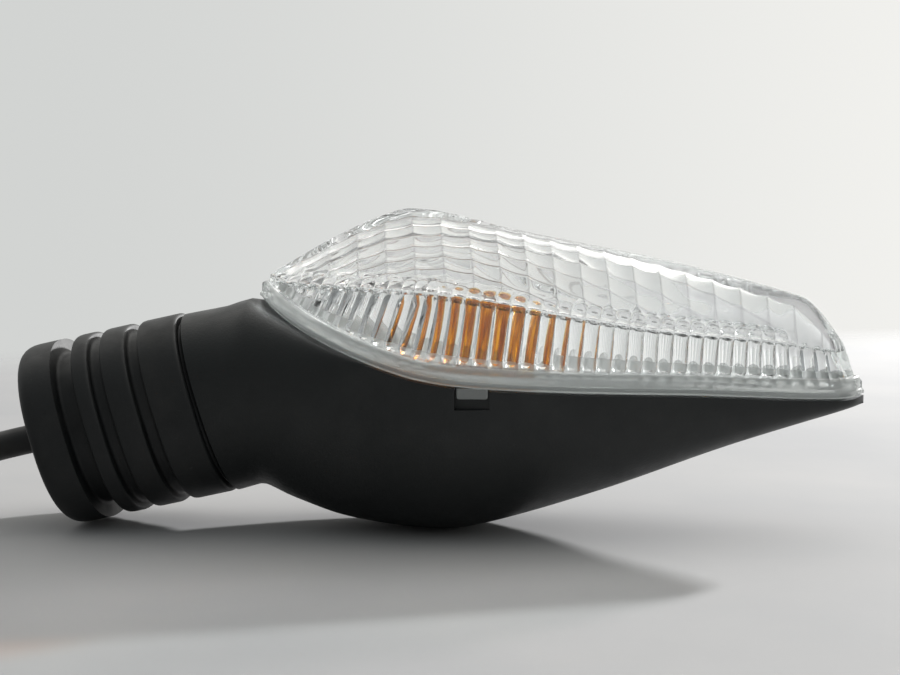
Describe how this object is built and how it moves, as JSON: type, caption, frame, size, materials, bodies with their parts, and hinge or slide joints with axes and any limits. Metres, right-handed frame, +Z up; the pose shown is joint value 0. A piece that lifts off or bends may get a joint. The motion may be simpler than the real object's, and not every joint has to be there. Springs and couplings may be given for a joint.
{
  "type": "turn signal indicator",
  "caption": "Motorcycle turn signal with a flexible ribbed rubber stalk, tapered black housing, clear fluted lens, bayonet bulb in a sprung socket and a sheathed lead.",
  "frame": {"origin": "centre of the lamp's footprint, on the ground it lies on, without its lead", "axes": "+X from the stalk to the tip, +Y across the lamp, +Z up through the lens, lying on its belly"},
  "size_m": [0.2326, 0.0694, 0.0568],
  "materials": {
    "black_plastic": "fine satin texture",
    "rubber": "matt moulded",
    "lead_sheath": "matt sleeve",
    "live_wire": "insulated wire",
    "earth_wire": "insulated wire",
    "plated_steel": "zinc plated",
    "filament_wire": "drawn wire",
    "insulator": "pressed board",
    "brass": "drawn brass",
    "solder": "solder",
    "clear_lens": "clear moulded",
    "mirror_coating": "vacuum metallised",
    "amber_glass": "amber coated",
    "clear_glass": "clear"
  },
  "bodies": {
    "mount": {"rubber_stalk": "rubber", "flange_plate": "plated_steel", "strain_relief": "rubber", "lead": "lead_sheath", "lead_coil": "lead_sheath", "lead_tail": "lead_sheath", "connector_seal": "rubber", "connector": "black_plastic", "connector_terminal_live": "brass", "connector_terminal_earth": "brass", "stalk_live_wire": "live_wire", "stalk_earth_wire": "earth_wire"},
    "head": {"housing": "black_plastic", "stalk_core": "black_plastic", "lens_gasket": "rubber", "reflector": "mirror_coating", "socket_shell": "plated_steel", "spring_seat": "insulator", "live_terminal": "brass", "earth_terminal": "plated_steel", "contact_spring": "plated_steel", "live_wire": "live_wire", "earth_wire": "earth_wire"},
    "plunger": {"plunger_disc": "insulator", "plunger_contact": "brass"},
    "bulb": {"bulb_contact": "solder", "bulb_insulator": "insulator", "bulb_base": "brass", "bulb_pin_near": "brass", "bulb_pin_far": "brass", "bulb_glass": "amber_glass", "bulb_stem": "clear_glass", "filament_post_near": "filament_wire", "filament_post_far": "filament_wire", "filament": "filament_wire"},
    "lens": {"lens": "clear_lens"}
  },
  "joints": [
    {"name": "stalk_flex", "type": "hinge", "parent": "mount", "child": "head", "pos_m": [-0.05644, 0, 0.01879], "axis": [0, 1, 0], "range_deg": [-15, 15], "stiffness_Nm_per_rad": 1.2, "deforming": ["rubber_stalk"]},
    {"name": "contact_push", "type": "slide", "parent": "head", "child": "plunger", "axis": [0, 0, 1], "range_m": [-0.0008, 0], "stiffness_N_per_m": 600, "springref_m": 0.001, "deforming": ["contact_spring"]},
    {"name": "bulb_twist", "type": "hinge", "parent": "plunger", "child": "bulb", "pos_m": [0.0085, 0, 0.0155], "axis": [0, 0, 1], "range_deg": [-20, 0]},
    {"name": "lens_release", "type": "slide", "parent": "head", "child": "lens", "axis": [0, 0, 1], "range_m": [0, 0.03]}
  ]
}
